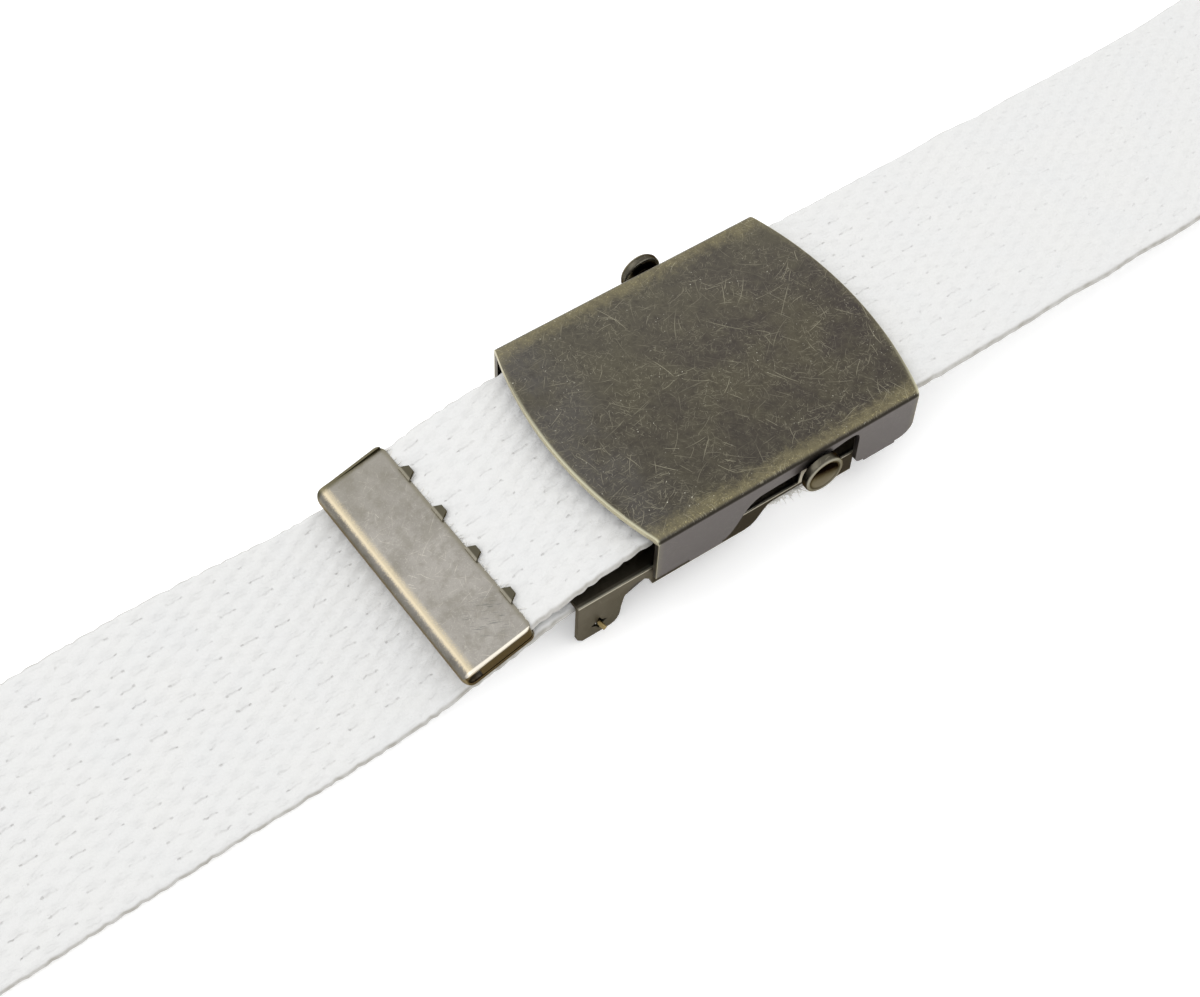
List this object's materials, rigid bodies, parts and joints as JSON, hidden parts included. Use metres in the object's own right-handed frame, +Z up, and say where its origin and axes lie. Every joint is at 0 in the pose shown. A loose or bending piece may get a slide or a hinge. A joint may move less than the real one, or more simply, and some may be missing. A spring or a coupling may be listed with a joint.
{
  "type": "canvas web belt",
  "caption": "Closed canvas web belt lying on a surface, with a sliding plate buckle, a toothed clamp and a folded metal tip on its free end.",
  "frame": {"origin": "centre of the bottom of the bounding box, on the surface the belt lies on", "axes": "+X along the buckle away from the metal tip, +Y from the buckle towards the back of the waist loop, +Z up from the surface"},
  "size_m": [0.5062, 0.2478, 0.0381],
  "materials": {
    "cotton": "woven",
    "cover_bronze": "worn antique bronze",
    "frame_bronze": "satin antique bronze",
    "bar_pewter": "satin",
    "jaw_metal": "satin",
    "pin_brass": "bare wire",
    "tip_metal": "worn satin"
  },
  "bodies": {
    "root": {"webbing_strap": "cotton", "buckle_cover": "cover_bronze", "inner_frame": "frame_bronze", "locking_bar": "bar_pewter", "clamp_jaw": "jaw_metal", "hinge_pin": "pin_brass", "strap_tip": "tip_metal"}
  },
  "joints": []
}
